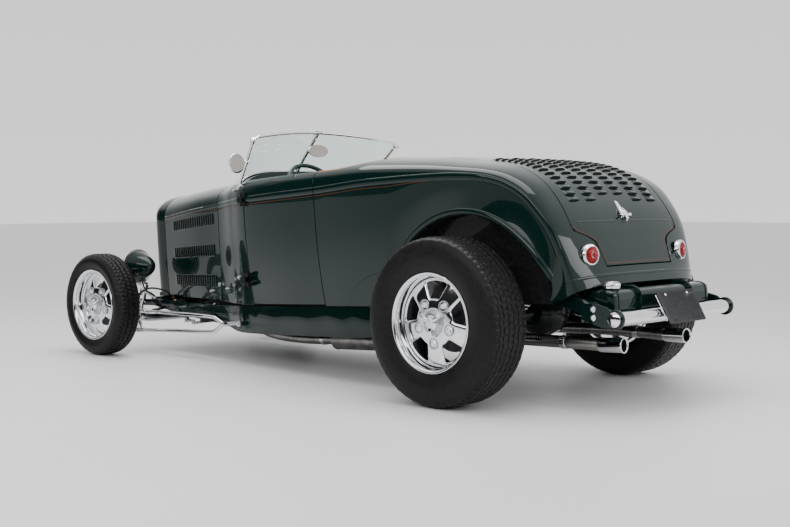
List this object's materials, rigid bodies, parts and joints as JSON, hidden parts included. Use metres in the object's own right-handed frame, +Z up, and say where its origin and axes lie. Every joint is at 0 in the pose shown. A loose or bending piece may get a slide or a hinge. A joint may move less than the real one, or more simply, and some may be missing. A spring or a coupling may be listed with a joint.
{
  "type": "street rod roadster",
  "caption": "Open two-seat hot rod roadster with bare wheels, opening doors, hood and deck lid, steered front wheels and wheels that turn.",
  "frame": {"origin": "on the ground, midway between the front and rear ends and between the sides", "axes": "+X forward, +Y to the car's left, +Z up"},
  "size_m": [3.7728, 1.654, 1.2954],
  "materials": {
    "body_paint": "deep gloss",
    "frame_paint": "gloss",
    "floor_paint": "satin",
    "under_black": "satin",
    "polished_steel": "polished",
    "chrome": "mirror polish",
    "glass": "clear with a green tint",
    "mirror": "mirror",
    "black_steel": "satin",
    "rim_plastic": "gloss",
    "tan_leather": "semi-matt",
    "cast_iron": "painted block",
    "polished_aluminium": "polished",
    "tyre": "matt",
    "axle_black": "gloss",
    "exhaust_steel": "satin",
    "red_lens": "gloss"
  },
  "bodies": {
    "chassis": {"frame_rails": "frame_paint", "floor_pan": "floor_paint", "cowl": "body_paint", "rear_body": "body_paint", "wheel_wells": "under_black", "dashboard": "body_paint", "hood_sides": "body_paint", "grille_shell": "body_paint", "grille": "polished_steel", "windshield_frame": "chrome", "windshield_glass": "glass", "mirrors": "mirror", "steering_column": "black_steel", "seat_cushion": "tan_leather", "seat_back": "tan_leather", "engine": "cast_iron", "front_axle": "chrome", "front_spring": "black_steel", "radius_rods": "chrome", "shock_absorbers": "chrome", "rear_axle": "axle_black", "fuel_tank": "body_paint", "rear_bar": "chrome", "exhaust": "exhaust_steel", "headlights": "body_paint", "taillights": "red_lens"},
    "door_left": {"door_left": "body_paint"},
    "door_right": {"door_right": "body_paint"},
    "deck_lid": {"deck_lid": "body_paint"},
    "hood_left": {"hood_left": "body_paint"},
    "hood_right": {"hood_right": "body_paint"},
    "steering_wheel": {"steering_wheel": "rim_plastic"},
    "pitman_arm": {"pitman_arm": "chrome"},
    "drag_link": {"drag_link": "chrome"},
    "tie_rod": {"tie_rod": "chrome"},
    "knuckle_left": {"knuckle_left": "chrome"},
    "knuckle_right": {"knuckle_right": "chrome"},
    "front_left_wheel": {"wheel_front_left": "polished_aluminium", "tyre_front_left": "tyre"},
    "front_right_wheel": {"wheel_front_right": "polished_aluminium", "tyre_front_right": "tyre"},
    "rear_left_wheel": {"wheel_rear_left": "polished_aluminium", "tyre_rear_left": "tyre"},
    "rear_right_wheel": {"wheel_rear_right": "polished_aluminium", "tyre_rear_right": "tyre"}
  },
  "joints": [
    {"name": "steer_left", "type": "hinge", "parent": "chassis", "child": "knuckle_left", "pos_m": [1.5892, 0.59, 0.297], "axis": [0, 0, 1], "range_deg": [-25, 25]},
    {"name": "steer_right", "type": "hinge", "parent": "chassis", "child": "knuckle_right", "pos_m": [1.5892, -0.59, 0.297], "axis": [0, 0, 1], "range_deg": [-25, 25]},
    {"name": "tie_rod_pivot", "type": "hinge", "parent": "knuckle_left", "child": "tie_rod", "pos_m": [1.4592, 0.57, 0.2], "axis": [0, 0, 1], "range_deg": [-25, 25]},
    {"name": "pitman_pivot", "type": "hinge", "parent": "chassis", "child": "pitman_arm", "pos_m": [1.3742, 0.25, 0.17], "axis": [0, 0, 1], "range_deg": [-25, 25]},
    {"name": "drag_link_pivot", "type": "hinge", "parent": "pitman_arm", "child": "drag_link", "pos_m": [1.2936, 0.2624, 0.17], "axis": [0, 0, 1], "range_deg": [-25, 25]},
    {"name": "steering_wheel_turn", "type": "hinge", "parent": "chassis", "child": "steering_wheel", "pos_m": [0.15462, 0.3, 0.95321], "axis": [-0.7849, 0, 0.6196], "range_deg": [-400, 400]},
    {"name": "front_left_spin", "type": "hinge", "parent": "knuckle_left", "child": "front_left_wheel", "pos_m": [1.5892, 0.7, 0.297], "axis": [0, 1, 0], "continuous": true},
    {"name": "front_right_spin", "type": "hinge", "parent": "knuckle_right", "child": "front_right_wheel", "pos_m": [1.5892, -0.7, 0.297], "axis": [0, 1, 0], "continuous": true},
    {"name": "rear_left_spin", "type": "hinge", "parent": "chassis", "child": "rear_left_wheel", "pos_m": [-1.1028, 0.707, 0.3725], "axis": [0, 1, 0], "continuous": true},
    {"name": "rear_right_spin", "type": "hinge", "parent": "chassis", "child": "rear_right_wheel", "pos_m": [-1.1028, -0.707, 0.3725], "axis": [0, 1, 0], "continuous": true},
    {"name": "door_left_hinge", "type": "hinge", "parent": "chassis", "child": "door_left", "pos_m": [0.50579, 0.52029, 0.63252], "axis": [-0.0574, 0, -0.9984], "range_deg": [0, 65]},
    {"name": "door_right_hinge", "type": "hinge", "parent": "chassis", "child": "door_right", "pos_m": [0.50579, -0.52029, 0.63252], "axis": [0.0574, 0, 0.9984], "range_deg": [0, 65]},
    {"name": "deck_lid_hinge", "type": "hinge", "parent": "chassis", "child": "deck_lid", "pos_m": [-0.86313, 0, 1.10887], "axis": [0, 1, 0], "range_deg": [0, 50]},
    {"name": "hood_left_hinge", "type": "hinge", "parent": "chassis", "child": "hood_left", "pos_m": [0.88585, 0, 1.02335], "axis": [0.9932, 0, -0.116], "range_deg": [0, 60]},
    {"name": "hood_right_hinge", "type": "hinge", "parent": "chassis", "child": "hood_right", "pos_m": [0.88585, 0, 1.02335], "axis": [-0.9932, 0, 0.116], "range_deg": [0, 60]}
  ],
  "couplings": [
    {"joint": "steer_right", "follows": "steer_left", "ratio": 1},
    {"joint": "tie_rod_pivot", "follows": "steer_left", "ratio": -1},
    {"joint": "pitman_pivot", "follows": "steer_left", "ratio": 1},
    {"joint": "drag_link_pivot", "follows": "steer_left", "ratio": -1},
    {"joint": "steering_wheel_turn", "follows": "steer_left", "ratio": 16}
  ]
}
